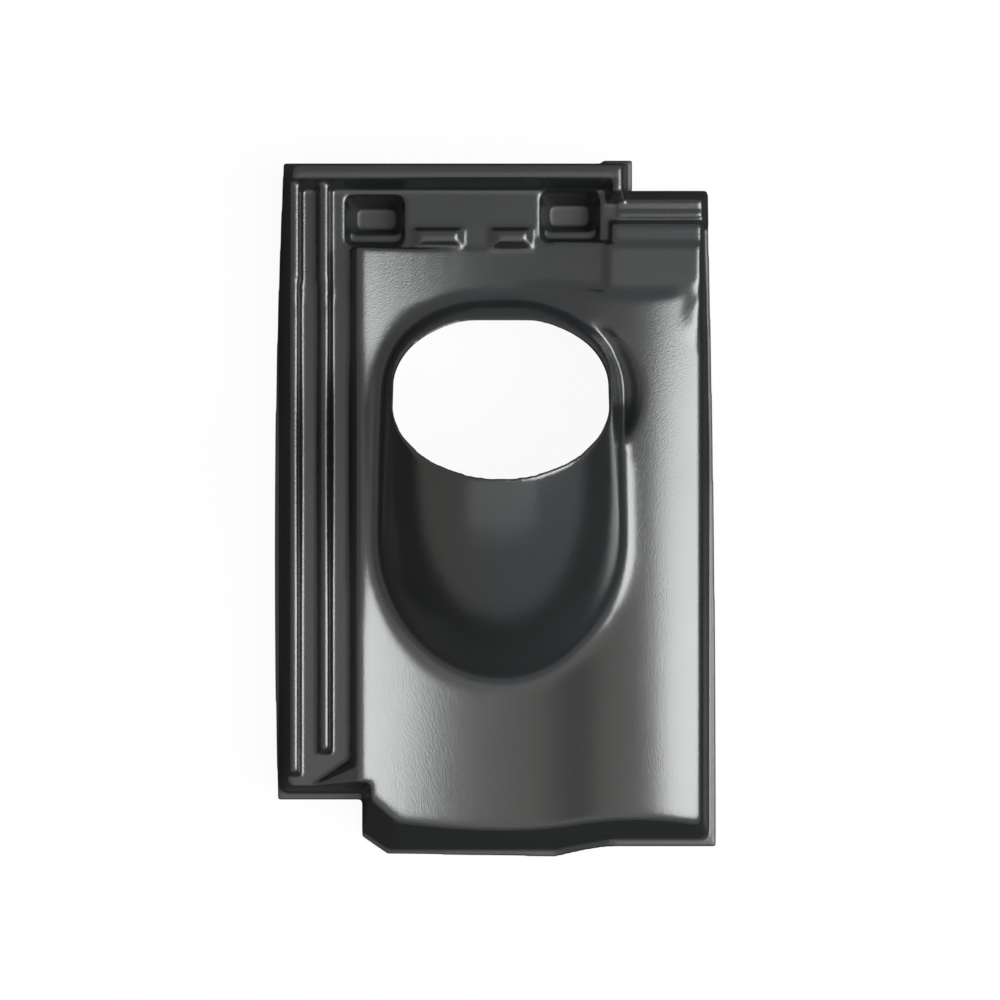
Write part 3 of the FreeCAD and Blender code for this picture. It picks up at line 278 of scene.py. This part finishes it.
def ease_share(place):
    """How far each point's creases are eased: wide at the hood's base, little at cut edges and ribs."""
    x, y, z = place.T
    rounds = np.full(len(x), PAN_ROUNDS)
    rounds[z > HOOD_WALL_Z] = HOOD_ROUNDS
    rounds[x < LIP_X] = LIP_ROUNDS
    rounds[x < CHANNEL_X] = RIB_ROUNDS
    rounds[y > HEAD_LAP_Y] = HEAD_ROUNDS

    # The roll's edge below the head lap.
    edge_x, edge_y, edge_half, edge_z = ROLL_EDGE
    rounds[(x > edge_x) & (np.abs(y - edge_y) < edge_half) & (z > edge_z)] = EASE_ROUNDS

    # The hood's base, and the clearance beside it.
    near = np.clip(1.0 - np.abs(off_hood(x, y) - BASE_OUT) / BASE_REACH, 0.0, 1.0)
    at_base = (z < BASE_TOP) & (y < HEAD_LAP_Y)
    rounds = np.where(at_base, np.maximum(rounds, EASE_ROUNDS * np.sqrt(near)), rounds)
    moat_x, moat_y, moat_reach = MOAT
    in_moat = (x > MOAT_X) & (np.hypot(x - moat_x, y - moat_y) < moat_reach) & (z < MOAT_TOP)
    rounds[in_moat] = np.minimum(rounds[in_moat], MOAT_ROUNDS)

    # The cut edges of the mouth and the foot.
    rise = (z - MOUTH_CENTRE[2]) * math.cos(MOUTH_TILT)
    run = (y - MOUTH_CENTRE[1]) * math.sin(MOUTH_TILT)
    rounds[np.abs(rise + run) < MOUTH_REACH] = MOUTH_ROUNDS
    rounds[z < np.where(x > ROLL_FOOT_X, ROLL_FOOT, 0.0) + FOOT_REACH] = FOOT_ROUNDS
    return rounds / EASE_ROUNDS


def formed_sheet():
    """The tile with the soft creases of a formed sheet, as a mesh of its own in place of the solid."""
    made = grid_copy(tile)
    mesh = made.data
    count = len(mesh.vertices)
    place = np.empty(count * 3)
    mesh.vertices.foreach_get("co", place)
    place = place.reshape(count, 3)
    ends = np.empty(len(mesh.edges) * 2, dtype=np.int32)
    mesh.edges.foreach_get("vertices", ends)
    here = np.concatenate([ends[0::2], ends[1::2]])
    there = np.concatenate([ends[1::2], ends[0::2]])
    links = np.maximum(np.bincount(here, minlength=count), 1)[:, None]

    def around(values):
        """The mean of each point's neighbours."""
        sums = [np.bincount(here, column[there], count) for column in values.T]
        return np.stack(sums, axis=1) / links

    share = ease_share(place)[:, None]
    for _ in range(EASE_BLUR):
        share = around(share)
    for _ in range(EASE_ROUNDS):
        place += EASE_STEP * share * (around(place) - place)
    mesh.vertices.foreach_set("co", place.ravel())
    mesh.update()

    # Fewer faces where the sheet is flat; each point keeps the direction of the even grid's skin.
    skin = KDTree(count)
    leans = np.empty(count * 3)
    mesh.vertices.foreach_get("normal", leans)
    leans = leans.reshape(count, 3)
    for number, point in enumerate(place):
        skin.insert(point, number)
    skin.balance()
    thin = made.modifiers.new("thin", "DECIMATE")
    thin.ratio = min(1.0, MOST_FACES / (2.0 * len(mesh.polygons)))
    made.data = applied(made)
    final = made.data
    final.shade_smooth()
    final.normals_split_custom_set_from_vertices([leans[skin.find(v.co)[1]] for v in final.vertices])
    return made


def studio_world():
    """Dim light all round, warmer from the left; plain white to the camera."""
    world = bpy.data.worlds.new("studio")
    bpy.context.scene.world = world
    world.use_nodes = True
    w = Nodes(world.node_tree)
    seen = w.add("ShaderNodeLightPath").outputs["Is Camera Ray"]
    level = w.span(seen, 0.0, 1.0, WORLD_LEVEL, 1.0)
    way = w.add("ShaderNodeTexCoord").outputs["Generated"]
    side = w.span(w.add("ShaderNodeSeparateXYZ", {0: way}).outputs[0], -0.6, 0.1)
    tint = w.mix(seen, w.mix(side, WARM_SIDE, COOL_SIDE), WHITE)
    sky = w.add("ShaderNodeBackground", {"Color": tint, "Strength": level})
    w.add("ShaderNodeOutputWorld", {"Surface": sky.outputs[0]})


plastic = plastic_material()
tile.data.materials.clear()
tile.data.materials.append(plastic)
sheet = formed_sheet()
sheet.data.materials.clear()
sheet.data.materials.append(plastic)
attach(sheet, "root")
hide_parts("vent_tile")

# The floor lies a hair below the foot, so that the two faces never share a plane.
bpy.ops.mesh.primitive_plane_add(size=8.0, location=(0, 0, -FLOOR_DROP))
floor = bpy.context.object
floor.name = "floor"
floor.data.materials.append(floor_material())

panel("right_softbox", (1.56, -0.20, 1.87), (0.02, -0.05, 0.03), (1.45, 1.80), 60.0,
      (0.985, 1.0, 1.0), SOFTBOX_TURN)
panel("overhead", (0.0, -0.55, 2.6), (0.0, -0.05, 0.0), (1.8, 1.6), 4.0, (1.0, 0.92, 0.84))
panel("front_fill", (0.05, -1.53, 1.67), (0.0, 0.0, 0.09), (2.4, 1.0), 3.3, (0.96, 1.0, 1.0))
studio_world()

camera = bpy.data.cameras.new("camera")
camera.lens = CAMERA_LENS
camera.sensor_width = 36.0
camera.clip_end = 20.0
viewer = bpy.data.objects.new("camera", camera)
viewer.location = CAMERA_PLACE
bpy.context.scene.collection.objects.link(viewer)
bpy.context.scene.camera = viewer
bpy.context.scene.view_settings.view_transform = "Standard"
